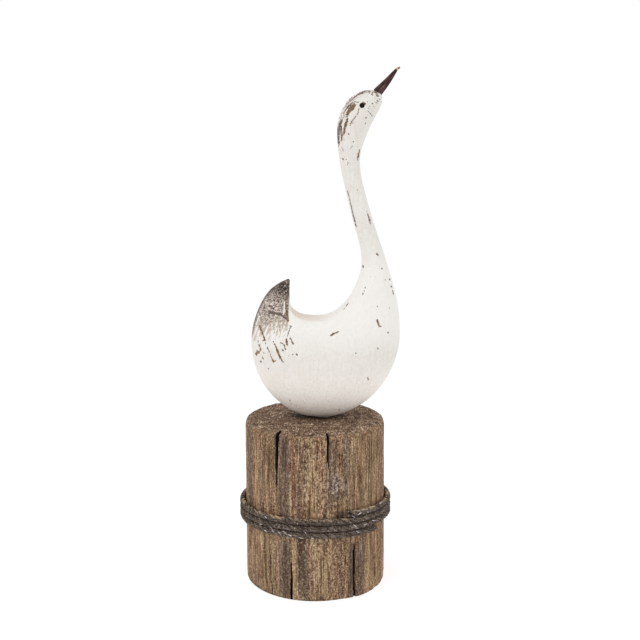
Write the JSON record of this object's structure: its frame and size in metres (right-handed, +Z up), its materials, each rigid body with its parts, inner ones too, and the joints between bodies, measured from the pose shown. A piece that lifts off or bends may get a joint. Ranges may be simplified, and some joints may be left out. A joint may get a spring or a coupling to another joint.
{
  "type": "wooden swan sculpture",
  "caption": "Carved wooden swan with an upstretched neck, painted white and rubbed back, standing on a round weathered post with rope wound round it.",
  "frame": {"origin": "centre of the post's foot, on the surface that the ornament stands on", "axes": "+Z up the post, +X the way the swan looks, Y across the swan's thickness"},
  "size_m": [0.1274, 0.1218, 0.3999],
  "materials": {
    "weathered_timber": "bare weathered timber with open grain and drying cracks, matt",
    "dark_hemp": "dark tarred hemp cord, laid in strands, fuzzy and matt",
    "white_paint": "off-white paint on wood, rubbed back, with a grey-brown wash on tail and crown, low sheen",
    "dark_bill": "dark stained wood, low sheen, tip rubbed bare",
    "black_bead": "black bead, glossy"
  },
  "bodies": {
    "root": {"post": "weathered_timber", "rope": "dark_hemp", "swan": "white_paint", "bill": "dark_bill", "eye_left": "black_bead", "eye_right": "black_bead"}
  },
  "joints": []
}
